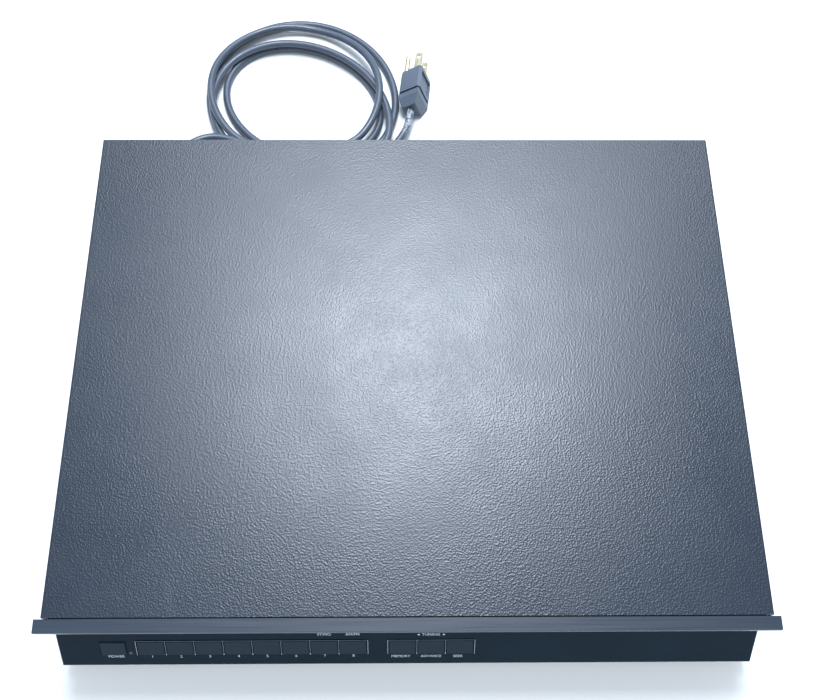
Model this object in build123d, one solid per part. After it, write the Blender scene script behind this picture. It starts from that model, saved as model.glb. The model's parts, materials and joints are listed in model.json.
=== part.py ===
from build123d import *

import math
import os

# A slim hi-fi radio tuner: a steel case with a visor and a sloping key panel across
# the front, the circuit boards and supply inside it, and its power cord coiled behind.
# Millimetres. X runs to the right, Y from front to back, Z up. The origin is on the
# surface that the tuner stands on, under the middle of the tuner without its cord.

# ---- Case ----
panel_width = 432.0       # visor and key panel, end to end
cover_inset = 4.0         # cover's sides inside the panel's ends
cover_depth = 327.0
cover_height = 68.0       # key panel's bottom edge to the cover's top
ground_gap = 12.0         # surface to the key panel's bottom edge
rear_reach = 12.0         # antenna socket's end behind the cover
cover_sheet = 1.0
cover_bend = 1.2
hem_depth = 8.0
chassis_sheet = 1.2
chassis_wall = 22.0       # height of the chassis pan's side walls
seam_gap = 0.2            # left between pieces that lie side by side
back_flange = 13.0        # cover's fold over the rear panel

# ---- Visor ----
visor_reach = 8.7
visor_drop = 1.1          # visor's top below the cover's top
visor_thick = 3.5
visor_gap = 0.6           # dark line between visor and cover
tongue_thick = 2.0
tongue_depth = 24.0
edge_round = 0.5

# ---- Key panel ----
panel_slope = 35.3        # degrees from upright
panel_length = 43.26      # up the slope, from the bottom edge to the bend
panel_setback = 4.5       # key panel's top edge behind the cover's front edge
panel_sheet = 2.0
panel_round = 1.2
return_depth = 2.0        # fold under the case, behind the cover's front edge
cheek_thick = 3.0
bezel_thick = 2.0

# ---- Keys ----
key_pitch = 17.9
rib_width = 0.7           # divider between two keys
key_gap = 0.35            # all round a key in its window
key_proud = 0.6
key_travel = 0.8
lip_width = 0.9           # key's lip above and below its window, behind the panel
lip_thick = 1.0
lip_gap = 0.1
stem_width = 4.0
stem_length = 2.2
frame_width = 0.6         # raised line round a window
frame_proud = 0.35
row_low = 10.9            # lower row's window, up the slope from the panel's bottom
row_high = 22.9
upper_low = 30.4
upper_high = 41.2
station_middle_x = -96.6
station_count = 8
tuner_middle_x = 14.5     # memory, middle and seek keys
tuning_width = 26.85      # pitch of the two tuning keys

power_inset = 33.5        # power key's middle inside the panel's end
power_width = 15.4
power_proud = 0.7
power_travel = 2.6
power_back = 3.0          # solid key behind its lip
light_offset = 10.3       # light to the right of the power key's middle
light_up = 12.5
light_radius = 1.0

# ---- Display ----
display_left = 60.0
display_inset = 26.0      # opening's right end inside the panel's end
display_margin = 5.0      # bezel above and below the opening
window_thick = 3.0
window_lip = 3.0
tube_thick = 8.0
tube_gap = 2.5            # window to tube
board_thick = 1.6

# ---- Key board ----
switch_size = 6.0
switch_body = 3.5
switch_button = 0.9
button_radius = 1.75
spare_travel = 0.1        # key stops this far short of its switch's button
board_clear = 0.9         # key board's low edge above the panel's folded bottom
board_margin = 0.3

# ---- Front frame ----
rib_thick = 2.0
frame_depth = 28.0
frame_inset = 3.0         # frame's ends inside the cover's sides
window_low_z = 8.0        # cable window above the floor
window_drop = 7.0         # cable window below the frame's rail
rod_clearance = 1.5

# ---- Power switch and its link ----
rod_radius = 1.5
switch_back = 118.0       # power switch's back, in front of the rear panel
mains_width = 15.0
mains_depth = 25.0
plunger_width = 5.0
plunger_out = 8.0
plunger_in = 9.0
plunger_clearance = 0.15
plunger_room = 1.0        # pocket left behind the plunger at full travel
bracket_sheet = 1.2
mains_pin = 5.0
mains_pin_radius = 1.0

# ---- Boards and parts inside ----
board_width = 260.0
board_inset = 26.0        # board's right end inside the panel's end
board_front = 70.0        # behind the cover's front edge
board_back = 32.0         # in front of the rear panel
post_height = 6.0
post_radius = 3.0
post_inset = 8.0
core_width = 60.0
core_thick = 24.0
core_height = 48.0
core_leg = 20.0
core_yoke = 10.0
core_inset = 62.0         # core's middle inside the cover's side
core_back = 72.0
winding_margin = 10.0
winding_gap = 0.2
tab_length = 10.0
tab_thick = 1.5
fuse_offset = 51.0        # fuse's middle to the right of the core's
fuse_back = 50.0          # fuse's middle, in front of the rear panel
fuse_radius = 2.6
fuse_length = 26.0
fuse_height = 9.0         # fuse's middle above the floor
clip_gap = 0.05

# Places on the main board, from its left edge and as shares of its depth.
supply_row = 0.85         # large cans and the heat sink
large_can_left = 22.0
large_can_pitch = 24.0
large_can_radius = 9.0
large_can_height = 30.0
small_can_row = 0.715
small_can_left = 20.0
small_can_pitch = 16.0
small_can_radius = 5.0
small_can_height = 16.0
groove_rise = 3.0         # groove above a can's foot
groove_width = 1.0
groove_depth = 0.5
sink_left = 110.0
sink_width = 44.0
sink_height = 32.0
sink_plate = 3.0
fin_pitch = 9.0
fin_thick = 2.0
fin_depth = 10.0
regulator_width = 10.0
regulator_thick = 4.5
regulator_tab = 1.3
regulator_legs = 6.0
chip_places = [(70, 0.18, 52), (150, 0.27, 30), (150, 0.40, 30), (60, 0.45, 36)]
chip_width = 9.0
chip_legs = 14.0
chip_lift = 1.0
chip_thick = 4.0
coil_can_row = 0.58
coil_can_left = 128.0
coil_can_pitch = 15.0
coil_can_width = 10.0
coil_can_height = 13.0
coil_core_deep = 3.0
coil_core_radius = 2.2
tin_row = 0.87
tin_left = 205.0
tin_width = 62.0
tin_depth = 44.0
tin_height = 20.0
tin_sheet = 0.5
tin_hole = 2.5
tin_hole_pitch = 14.0
cable_x = 100.0
cable_width = 22.0
cable_thick = 0.8
cable_bend = 4.0
cable_out = 14.0          # straight out of the display board
cable_level = 22.0        # level stretch over the main board
cable_landing = 12.0      # end behind the board's front edge, and its height there

# ---- Feet and screws ----
foot_inset_x = 47.0
foot_inset_y = 45.0
foot_top_radius = 20.0
foot_radius = 17.0
pad_radius = 14.0
pad_bore = 7.0
pad_thick = 1.2
foot_recess = 5.5
foot_web = 4.0            # foot's plastic under the chassis
screw_radius = 1.5
screw_hole = 0.1          # round a screw
head_radius = 3.1
head_height = 1.9
slot_width = 0.9
slot_depth = 0.8
screw_length = 6.0

# ---- Back of the tuner ----
jack_spacing = 16.0
jack_x = -20.0
jack_z = 40.0
jack_radius = 4.15
jack_bore = 1.7
jack_length = 8.5
plate_thick = 2.0
plate_margin = 9.0
antenna_inset = 44.0      # socket's middle inside the cover's side
antenna_z = 40.0
antenna_radius = 4.75
antenna_bore = 1.2
antenna_hex = 12.0
antenna_nut = 3.0
antenna_bore_depth = 8.0
terminal_offset = 60.0    # terminals' middle to the left of the antenna socket
terminal_z = 40.0
terminal_pitch = 13.0
terminal_count = 4
terminal_height = 18.0
terminal_depth = 7.0
terminal_screw = 3.4
terminal_slot = 1.2
terminal_pin = 2.0
terminal_base = 3.0
terminal_wall = 2.0
terminal_edge = 4.0       # block's ends outside its part inside the rear panel
terminal_head = 2.5
terminal_cut = 1.0
opening_gap = 0.3         # round a fitting in the rear panel
inside_depth = 6.0        # what each fitting has inside the rear panel
flange_depth = 12.0       # rear panel's fold over the chassis floor

# ---- Power cord ----
cord_radius = 2.9
cord_inset = 25.0         # cord's hole inside the cover's side
cord_z = 26.0
relief_flange = 8.5
relief_plate = 2.0
relief_root = 6.2
relief_tip = 4.2
relief_length = 18.0
relief_turn = 22.0        # degrees that the sleeve leans to the right
relief_droop = 10.0       # degrees that it hangs
relief_hole = 0.15
coil_right = 103.7        # coil's middle to the right of the cord's hole
coil_back = 94.0
coil_outer = 77.0
hole_right = 103.0
hole_back = 85.0
hole_half_x = 56.0
hole_half_y = 49.0
coil_height = 12.0
coil_round = 3.0
arc_share = 0.45          # of the shorter run, taken by each arc

# Points of the lead from the end of its strain relief to the coil, and of the tail from
# the coil to the plug: distance to the right of the cord's hole, distance behind the
# cover's back edge, height.
lead_route = [
    (10.7, 27.4, 21.0),
    (19.0, 37.0, 18.2),
    (32.4, 46.5, 16.0),
    (48.4, 46.0, 15.0),
    (64.6, 38.3, 13.4),
    (81.0, 31.0, 11.0),
    (97.5, 27.4, 9.0),
]
tail_route = [
    (117.0, 22.0, 3.2),
    (135.0, 22.5, 3.2),
    (153.5, 27.0, 3.2),
    (170.5, 36.0, 3.8),
    (183.4, 50.5, 6.4),
    (190.6, 64.0, 9.0),
    (192.1, 77.6, 9.0),
]

# ---- Plug ----
plug_wide = 26.0          # across the blades' side
plug_narrow = 12.0        # across the earth pin's side
plug_high = 20.0          # from one of those sides to the other
plug_block = 20.0
plug_chamfer = 2.2
taper_length = 8.0        # clamp, from the cord to its full size
taper_share = 0.62        # clamp's size at the cord
clamp_share = 0.94        # clamp's size beside the block
clamp_length = 4.0
waist_share = 0.84        # groove between the clamp and the block
waist_length = 1.6
recess_inset = 3.2        # shallow recess in the plug's broad side
recess_deep = 1.4
blade_length = 17.0
blade_width = 6.35
blade_thick = 1.5
blade_spacing = 12.7
blade_hole = 1.6
blade_hole_end = 4.0
blade_chamfer = 1.2
earth_offset = 11.9
earth_radius = 2.4
earth_length = 20.0

# ---- Worked out from the sizes above ----
tilt = math.radians(panel_slope)
panel_run = panel_length * math.sin(tilt)
panel_reach = panel_run - panel_setback           # panel's bottom edge in front of the cover
depth = panel_reach + cover_depth + rear_reach
front_y = -depth / 2
cover_y = front_y + panel_reach
back_y = cover_y + cover_depth
base_z = ground_gap
top_z = base_z + cover_height
floor_z = base_z + panel_sheet
under_z = floor_z - chassis_sheet
half_panel = panel_width / 2
half_cover = half_panel - cover_inset
half_inside = half_cover - cover_sheet
half_chassis = half_inside - seam_gap
frame_half = half_inside - frame_inset
rear_y = back_y - cover_sheet - seam_gap / 2      # rear panel's outer face
rear_inside_y = rear_y - chassis_sheet
visor_z = top_z - visor_drop - visor_thick
display_right = half_panel - display_inset
power_middle_x = power_inset - half_panel
light_x = power_middle_x + light_offset
board_right = half_panel - board_inset
board_left = board_right - board_width
core_x = core_inset - half_cover
fuse_x = core_x + fuse_offset
antenna_x = half_cover - antenna_inset
terminal_x = antenna_x - terminal_offset
cord_x = cord_inset - half_cover
bend_z = base_z + panel_length * math.cos(tilt)
bezel_y = cover_y + panel_setback
frame_back_y = cover_y + frame_depth
station_span = key_pitch * station_count
key_back = panel_sheet + lip_gap + lip_thick      # key's back below the panel's face
stem_end = key_back + stem_length
button_top = stem_end + key_travel + spare_travel
board_top = button_top + switch_button + switch_body
board_low = (panel_sheet + board_clear + (board_top + board_thick) * math.sin(tilt)) / math.cos(tilt)
board_z = floor_z + post_height + board_thick     # main board's top
flange_middle = flange_depth * 0.6                # screws in the rear panel's fold
row_middle = (row_low + row_high) / 2
upper_middle = (upper_low + upper_high) / 2
power_low_z = base_z + row_low * math.cos(tilt)
power_high_z = base_z + row_high * math.cos(tilt)
power_middle_z = (power_low_z + power_high_z) / 2

panel_face = Plane(
    origin=(0, front_y, base_z),
    x_dir=(1, 0, 0),
    z_dir=(0, -math.cos(tilt), math.sin(tilt)),
)


# ---- Helpers ----
def block(x, y, z):
    """A box from its (low, high) pairs along X, Y and Z."""
    size = Box(x[1] - x[0], y[1] - y[0], z[1] - z[0])
    return Pos((x[0] + x[1]) / 2, (y[0] + y[1]) / 2, (z[0] + z[1]) / 2) * size


def on_panel(x, up, out):
    """A box on the sloping panel: along X, up the slope, and out of its face."""
    return panel_face * block(x, up, out)


def prism(points, x):
    """A (Y, Z) outline drawn out along X between two places."""
    wire = Polyline(*[(0, y, z) for y, z in points], close=True)
    solid = extrude(make_face(wire), amount=x[1] - x[0], dir=(1, 0, 0))
    return Pos(x[0], 0, 0) * solid


def rod(start, end, radius):
    """A round bar between two points."""
    start = Vector(*start)
    end = Vector(*end)
    plane = Plane(origin=start, z_dir=end - start)
    return plane * Cylinder(radius, (end - start).length, align=(Align.CENTER, Align.CENTER, Align.MIN))


def slope_y(z, out):
    """Y of the point at height z that stands out of the panel's face by out."""
    return front_y + ((z - base_z) * math.sin(tilt) - out) / math.cos(tilt)


def around(middle, size):
    """The (low, high) pair of a size about its middle."""
    return (middle - size / 2, middle + size / 2)


def screw(tip, head, length):
    """A slotted screw: head is the unit step from its tip towards its head."""
    tip = Vector(*tip)
    head = Vector(*head)
    neck = tip + head * length
    top = neck + head * head_height
    body = rod(tip, neck, screw_radius) + rod(neck, top, head_radius)
    cut = Plane(origin=top, z_dir=head) * Box(2 * head_radius, slot_width, 2 * slot_depth)
    return body - cut


# ---- Keys ----
def station_x(number):
    """Middle of a station key, numbered from 1."""
    return station_middle_x + (number - (station_count + 1) / 2) * key_pitch


key_middles = {f"station_key_{n}": (station_x(n), row_middle) for n in range(1, station_count + 1)}
key_middles["memory_key"] = (tuner_middle_x - key_pitch, row_middle)
key_middles["advance_key"] = (tuner_middle_x, row_middle)
key_middles["seek_key"] = (tuner_middle_x + key_pitch, row_middle)
key_middles["stereo_mono_key"] = (station_x(station_count - 1), upper_middle)
key_middles["am_fm_key"] = (station_x(station_count), upper_middle)
key_middles["tuning_down_key"] = (tuner_middle_x - tuning_width / 2, upper_middle)
key_middles["tuning_up_key"] = (tuner_middle_x + tuning_width / 2, upper_middle)


def key_size(name):
    """Width and height of a key's window."""
    if name.startswith("tuning"):
        return tuning_width - rib_width, upper_high - upper_low
    height = row_high - row_low if key_middles[name][1] == row_middle else upper_high - upper_low
    return key_pitch - rib_width, height


def key(name):
    """A key cap with its lips behind the panel and the stem that presses its switch."""
    x, up = key_middles[name]
    width, height = key_size(name)
    wide = around(x, width - 2 * key_gap)
    high = around(up, height - 2 * key_gap)
    cap = on_panel(wide, high, (-key_back, key_proud))
    cap = fillet(cap.faces().sort_by(Axis(panel_face.origin, panel_face.z_dir))[-1].edges(), key_gap)
    lips = on_panel(wide, around(up, height + 2 * lip_width), (-key_back, -key_back + lip_thick))
    stem = on_panel(around(x, stem_width), around(up, stem_width), (-stem_end, -key_back))
    return cap + lips + stem


def sloping_outline(low, high, out, back):
    """A (Y, Z) outline whose front follows the slope, out of the panel's face."""
    return [(slope_y(low, out), low), (slope_y(high, out), high), (back, high), (back, low)]


def power_key():
    """The power key: its face follows the slope, and it slides straight back."""
    middle = around(power_middle_x, power_width)
    back = slope_y(power_high_z, -panel_sheet) + power_back
    low = power_low_z + key_gap
    high = power_high_z - key_gap
    cap = prism(sloping_outline(low, high, power_proud, back), middle)
    cap = fillet(cap.faces().sort_by(Axis(panel_face.origin, panel_face.z_dir))[-1].edges(), key_gap)
    lip = -panel_sheet - lip_gap
    low = power_low_z - lip_width
    high = power_high_z + lip_width
    lips = prism(sloping_outline(low, high, lip, back), middle)
    return cap + lips


def power_back_y():
    """The power key's back, where its link rod starts."""
    return slope_y(power_high_z, -panel_sheet) + power_back


# ---- Front ----
def window_frame(x, up):
    """The thin raised line round a window, with the window left open."""
    outer = on_panel(
        (x[0] - frame_width, x[1] + frame_width), (up[0], up[1] + frame_width), (0, frame_proud)
    )
    return outer - on_panel(x, up, (-panel_sheet, 2 * frame_proud))


def key_panel():
    """The sloping panel with its fold under the case, its windows and their dividers."""
    fold_y = cover_y + return_depth
    outline = [
        (front_y, base_z),
        (slope_y(bend_z, 0), bend_z),
        (slope_y(bend_z, -panel_sheet), bend_z),
        (slope_y(floor_z, -panel_sheet), floor_z),
        (fold_y, floor_z),
        (fold_y, base_z),
    ]
    panel = prism(outline, (-half_panel, half_panel))
    front_edge = panel.edges().filter_by(Axis.X).sort_by(Axis.Y)[0]
    panel = fillet(front_edge, panel_round)
    for side in (-1, 1):
        ends = sorted((side * frame_half, side * (half_panel + 1)))
        panel -= block(ends, (cover_y - seam_gap, fold_y + 20), (base_z - 1, top_z))
    cut = (-2 * panel_sheet, panel_sheet)
    groups = [
        (around(station_middle_x, station_span), (row_low, row_high), key_pitch, station_count),
        (around(tuner_middle_x, 3 * key_pitch), (row_low, row_high), key_pitch, 3),
        (around(station_x(station_count - 0.5), 2 * key_pitch), (upper_low, upper_high), key_pitch, 2),
        (around(tuner_middle_x, 2 * tuning_width), (upper_low, upper_high), tuning_width, 2),
    ]
    for wide, high, pitch, count in groups:
        panel -= on_panel(wide, high, cut)
        panel += window_frame(wide, high)
        for number in range(1, count):
            edge = wide[0] + number * pitch
            panel += on_panel(around(edge, rib_width), high, (-panel_sheet, frame_proud))
    power_window = (power_low_z, power_high_z)
    panel -= block(
        around(power_middle_x, power_width + 2 * key_gap),
        (front_y - panel_reach, slope_y(power_high_z, -panel_sheet) + 1),
        power_window,
    )
    light_hole = Cylinder(light_radius + screw_hole / 2, 4 * panel_sheet)
    panel -= panel_face * Pos(light_x, light_up, 0) * light_hole
    return panel


def end_cheeks():
    """The two wedges that close the ends of the key panel."""
    stop_y = cover_y - seam_gap
    fold = base_z + panel_sheet
    outline = [
        (slope_y(fold, -panel_sheet), fold),
        (stop_y, base_z + (stop_y - front_y - panel_sheet / math.cos(tilt)) / math.tan(tilt)),
        (stop_y, fold),
    ]
    inner = half_panel - cheek_thick
    ends = ((-half_panel, -inner), (inner, half_panel))
    return Compound(children=[prism(outline, end) for end in ends])


def visor_bar():
    """The bar over the front, with the tongue that lies on the frame under the cover."""
    bar = block(
        (-half_panel, half_panel),
        (cover_y - visor_reach, cover_y - visor_gap),
        (visor_z, visor_z + visor_thick),
    )
    bar = fillet(bar.edges().group_by(Axis.Y)[0], edge_round)
    tongue = block(
        (-frame_half, frame_half),
        (cover_y - visor_gap, cover_y + tongue_depth),
        (visor_z, visor_z + tongue_thick),
    )
    return bar + tongue


def display_opening():
    """The bezel's opening: (low, high) along X and along Z."""
    return (display_left, display_right), (bend_z + display_margin, visor_z - display_margin)


def display_bezel():
    """The upright strip under the visor, with the display's opening."""
    strip = block(
        (-frame_half, frame_half),
        (bezel_y, bezel_y + bezel_thick),
        (bend_z + seam_gap, visor_z - seam_gap),
    )
    wide, high = display_opening()
    return strip - block(wide, (bezel_y - 1, bezel_y + bezel_thick + 1), high)


def display_window():
    """The smoked window: a lip behind the bezel, and a step that fills its opening."""
    wide, high = display_opening()
    back = bezel_y + bezel_thick
    step = block(
        (wide[0] + seam_gap, wide[1] - seam_gap),
        (bezel_y, back),
        (high[0] + seam_gap, high[1] - seam_gap),
    )
    lip = block(
        (wide[0] - window_lip, wide[1] + window_lip),
        (back, back + window_thick),
        (high[0] - window_lip, high[1] + window_lip),
    )
    return step + lip


def tube_front_y():
    """The display tube's face."""
    return bezel_y + bezel_thick + window_thick + tube_gap


def display_tube():
    """The glass display tube, with its getter nipple at one end."""
    wide, high = display_opening()
    front = tube_front_y()
    glass = block(wide, (front, front + tube_thick), high)
    glass = fillet(glass.edges().filter_by(Axis.Y), 1.0)
    middle_z = (high[0] + high[1]) / 2
    middle_y = front + tube_thick / 2
    return glass + rod((wide[1], middle_y, middle_z), (wide[1] + 5, middle_y, middle_z), 1.5)


def display_board():
    """The display's circuit board, between two ribs of the frame."""
    high = display_opening()[1]
    front = tube_front_y() + tube_thick
    return block(
        (frame_rib_places()[2][1], frame_rib_places()[3][0]),
        (front, front + board_thick),
        (high[0] - window_lip, high[1] + window_lip),
    )


def frame_rib_places():
    """The frame's four upright ribs, each a (low, high) pair along X."""
    board = key_board_ends()
    return [
        (-frame_half, -frame_half + rib_thick),
        (board[0] - rib_thick, board[0]),
        (board[1], board[1] + rib_thick),
        (frame_half - rib_thick, frame_half),
    ]


def front_frame():
    """The moulded frame: a rail under the visor, ribs behind the panel, and a web."""
    rail_z = visor_z - rib_thick
    front = bezel_y + bezel_thick
    frame = block((-frame_half, frame_half), (front, frame_back_y), (rail_z, visor_z))
    outline = [
        (slope_y(floor_z, -panel_sheet), floor_z),
        (slope_y(bend_z, -panel_sheet), bend_z),
        (front, bend_z),
        (front, visor_z),
        (frame_back_y, visor_z),
        (frame_back_y, floor_z),
    ]
    for place in frame_rib_places():
        frame += prism(outline, place)
    web = (frame_back_y - rib_thick, frame_back_y)
    frame += block((-frame_half, frame_half), web, (floor_z, visor_z))
    ribs = frame_rib_places()
    behind = (frame_back_y - rib_thick - 1, frame_back_y + 1)
    for left, right in ((ribs[1][1], ribs[2][0]), (ribs[2][1], ribs[3][0])):
        frame -= block(
            (left + window_low_z, right - window_low_z),
            behind,
            (floor_z + window_low_z, rail_z - window_drop),
        )
    frame -= rod(
        (power_middle_x, behind[0], power_middle_z),
        (power_middle_x, behind[1], power_middle_z),
        rod_radius + rod_clearance,
    )
    return frame


def key_board_ends():
    """The key board's left and right ends."""
    left = station_middle_x - station_span / 2 - board_margin
    return left, tuner_middle_x + tuning_width + board_margin + rib_width


def key_board():
    """The board parallel to the key panel, under its switches."""
    high = upper_middle + switch_size
    return on_panel(key_board_ends(), (board_low, high), (-board_top - board_thick, -board_top))


def key_switches():
    """One small push switch under each key but the power key."""
    switches = []
    for x, up in key_middles.values():
        body = on_panel(
            around(x, switch_size), around(up, switch_size), (-board_top, -board_top + switch_body)
        )
        button = Pos(x, up, -button_top - switch_button / 2) * Cylinder(button_radius, switch_button)
        switches.append(body + panel_face * button)
    return Compound(children=switches)


def power_light():
    """The small light beside the power key, seated behind the panel."""
    lens = Pos(light_x, light_up, -panel_sheet / 2) * Cylinder(light_radius, panel_sheet + 0.2)
    seat = Pos(light_x, light_up, -panel_sheet - 1) * Cylinder(light_radius + 0.6, 2)
    return panel_face * (lens + seat)


# ---- Case ----
side_screws = [(side, cover_y + share * cover_depth) for side in (-1, 1) for share in (0.2, 0.85)]
side_screw_z = floor_z + chassis_wall * 0.7
back_screws = [share * half_cover for share in (-0.72, 0.0, 0.72)]
back_screw_z = top_z - cover_sheet - back_flange * 0.5


def top_cover():
    """The folded cover: top, two sides, a hem in front and a fold down at the back."""
    low = under_z + seam_gap
    shell = block((-half_cover, half_cover), (cover_y, back_y), (low, top_z))
    long_edges = shell.edges().filter_by(Axis.Y).group_by(Axis.Z)[-1]
    shell = fillet(long_edges, cover_bend)
    shell -= block(
        (-half_inside, half_inside),
        (cover_y - 1, back_y - cover_sheet),
        (low - 1, top_z - cover_sheet),
    )
    shell -= block(
        (-half_inside, half_inside),
        (back_y - 2 * cover_sheet, back_y + 1),
        (low - 1, top_z - cover_sheet - back_flange),
    )
    hem_z = top_z - cover_sheet
    hem = (cover_y, cover_y + hem_depth)
    shell += block((-half_inside, half_inside), hem, (hem_z - cover_sheet, hem_z))
    hole = screw_radius + screw_hole
    for side, y in side_screws:
        inside = (side * (half_inside - 2), y, side_screw_z)
        outside = (side * (half_cover + 2), y, side_screw_z)
        shell -= rod(inside, outside, hole)
    for x in back_screws:
        shell -= rod((x, back_y - 3, back_screw_z), (x, back_y + 1, back_screw_z), hole)
    return shell


def foot_places():
    """The middles of the four feet."""
    x = half_cover - foot_inset_x
    return [(sx * x, y) for sx in (-1, 1) for y in (cover_y + foot_inset_y, back_y - foot_inset_y)]


def board_corners():
    """The main board's posts: four corners and two halfway back."""
    front = cover_y + board_front + post_inset
    back = rear_y - board_back - post_inset
    ys = (front, (front + back) / 2, back)
    return [(x, y) for x in (board_left + post_inset, board_right - post_inset) for y in ys]


def base_chassis():
    """The chassis pan: a floor with cooling slots, two side walls and the board's posts."""
    front = cover_y + return_depth + seam_gap
    pan = block((-half_chassis, half_chassis), (front, rear_inside_y), (under_z, floor_z))
    for side in (-1, 1):
        wall = sorted((side * half_chassis, side * (half_chassis - chassis_sheet)))
        pan += block(wall, (front, rear_inside_y), (floor_z, floor_z + chassis_wall))
    hole = screw_radius + screw_hole
    for side, y in side_screws:
        inside = (side * (half_chassis - 4), y, side_screw_z)
        pan -= rod(inside, (side * half_cover, y, side_screw_z), hole)
    for x, y in foot_places():
        pan -= rod((x, y, under_z - 1), (x, y, floor_z + 1), hole)
    for x in back_screws:
        y = rear_inside_y - flange_middle
        pan -= rod((x, y, under_z - 1), (x, y, floor_z + 1), hole)
    for x, y in board_corners():
        pan += rod((x, y, floor_z), (x, y, floor_z + post_height), post_radius)
    cooling = (board_left + board_right) / 2
    for row in range(3):
        y = cover_y + board_front + 50 + row * 55
        for number in range(-5, 6):
            pan -= block(around(cooling + number * 14, 3), around(y, 30), (under_z - 1, floor_z + 1))
    return pan


def rear_panel():
    """The rear panel, with a fold over the floor and openings for its fittings."""
    half = half_chassis - chassis_sheet - seam_gap
    high = top_z - cover_sheet - seam_gap
    panel = block((-half, half), (rear_inside_y, rear_y), (under_z, high))
    fold = (rear_inside_y - flange_depth, rear_inside_y)
    panel += block((-half, half), fold, (floor_z, floor_z + chassis_sheet))
    hole = screw_radius + screw_hole
    for x in back_screws:
        panel -= rod((x, rear_y - 3, back_screw_z), (x, rear_y + 1, back_screw_z), hole)
        y = rear_inside_y - flange_middle
        panel -= rod((x, y, floor_z - 1), (x, y, floor_z + 3), hole)
    through = (rear_inside_y - 1, rear_y + 1)
    panel -= rod((cord_x, through[0], cord_z), (cord_x, through[1], cord_z), relief_root + relief_hole)
    socket_ends = [(antenna_x, y, antenna_z) for y in through]
    panel -= rod(*socket_ends, antenna_radius + opening_gap)
    inner_jacks = jack_spacing + 2 * jack_radius
    panel -= block(around(jack_x, inner_jacks + 1), through, around(jack_z, 2 * jack_radius + 1))
    terminals = around(terminal_x, terminal_span() - 2 * terminal_edge + 2)
    panel -= block(terminals, through, around(terminal_z, terminal_height / 2))
    return panel


def cover_screws():
    """The screws through the cover's sides and back."""
    screws = []
    for side, y in side_screws:
        tip = (side * (half_cover - screw_length), y, side_screw_z)
        screws.append(screw(tip, (side, 0, 0), screw_length))
    for x in back_screws:
        screws.append(screw((x, back_y - screw_length, back_screw_z), (0, 1, 0), screw_length))
    return Compound(children=screws)


def chassis_screws():
    """The screws through the floor: up into the rear panel's fold, and up through the feet."""
    y = rear_inside_y - flange_middle
    screws = [screw((x, y, under_z + screw_length), (0, 0, -1), screw_length) for x in back_screws]
    length = foot_web + screw_length
    for x, y in foot_places():
        screws.append(screw((x, y, under_z - foot_web + length), (0, 0, -1), length))
    return Compound(children=screws)


def feet():
    """Four round feet, hollow underneath for their screws."""
    shapes = []
    for x, y in foot_places():
        foot = Cone(foot_radius, foot_top_radius, under_z - pad_thick)
        foot = Pos(x, y, (pad_thick + under_z) / 2) * foot
        foot -= rod((x, y, 0), (x, y, under_z + 1), screw_radius + screw_hole)
        foot -= rod((x, y, 0), (x, y, under_z - foot_web), foot_recess)
        shapes.append(foot)
    return Compound(children=shapes)


def foot_pads():
    """A rubber ring under each foot."""
    rings = [
        rod((x, y, 0), (x, y, pad_thick), pad_radius) - rod((x, y, -1), (x, y, pad_thick + 1), pad_bore)
        for x, y in foot_places()
    ]
    return Compound(children=rings)


# ---- Power switch and supply ----
def mains_front_y():
    """The power switch's front face."""
    return rear_y - switch_back - mains_depth


def plunger_start_y():
    """The plunger's free end, where the link rod meets it."""
    return mains_front_y() - plunger_out


def power_switch():
    """The power switch, with the pocket that its plunger slides in."""
    front = mains_front_y()
    body = block(
        around(power_middle_x, mains_width),
        (front, front + mains_depth),
        around(power_middle_z, mains_width),
    )
    width = plunger_width + 2 * plunger_clearance
    pocket = plunger_in + power_travel + plunger_room
    body -= block(
        around(power_middle_x, width), (front - 1, front + pocket), around(power_middle_z, width)
    )
    for offset in (-1, 1):
        pin_x = power_middle_x + offset * mains_width / 4
        pin_y = front + mains_depth
        body += rod(
            (pin_x, pin_y, power_middle_z), (pin_x, pin_y + mains_pin, power_middle_z), mains_pin_radius
        )
    return body


def switch_plunger():
    """The square plunger of the power switch."""
    front = plunger_start_y()
    return block(
        around(power_middle_x, plunger_width),
        (front, mains_front_y() + plunger_in),
        around(power_middle_z, plunger_width),
    )


def power_link_rod():
    """The long rod from the power key back to the power switch."""
    return rod(
        (power_middle_x, power_back_y(), power_middle_z),
        (power_middle_x, plunger_start_y(), power_middle_z),
        rod_radius,
    )


def switch_bracket():
    """The folded bracket that holds the power switch above the floor."""
    front = mains_front_y()
    shelf_z = power_middle_z - mains_width / 2
    along = (front + 1, front + mains_depth - 1)
    half = mains_width / 2 + bracket_sheet
    sides = (power_middle_x - half, power_middle_x + half)
    bracket = block(sides, along, (shelf_z - bracket_sheet, shelf_z))
    for outer, inner in ((sides[0], sides[0] + bracket_sheet), (sides[1] - bracket_sheet, sides[1])):
        bracket += block((outer, inner), along, (floor_z, shelf_z + mains_width / 2))
    for wide in ((sides[0] - 4, sides[0]), (sides[1], sides[1] + 8)):
        bracket += block(wide, along, (floor_z, floor_z + bracket_sheet))
    return bracket


def core_y():
    """The transformer's middle, front to back."""
    return rear_y - core_back


def transformer_core():
    """The laminated core: two windows beside a middle leg, on two fixing tabs."""
    low = floor_z
    core = block(around(core_x, core_width), around(core_y(), core_thick), (low, low + core_height))
    window = (core_width - core_leg) / 2 - core_yoke
    for side in (-1, 1):
        middle = core_x + side * (core_leg + window) / 2
        core -= block(
            around(middle, window),
            around(core_y(), core_thick + 2),
            (low + core_yoke, low + core_height - core_yoke),
        )
        tab = sorted((core_x + side * core_width / 2, core_x + side * (core_width / 2 + tab_length)))
        core += block(tab, around(core_y(), core_thick), (low, low + tab_thick))
    return core


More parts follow.
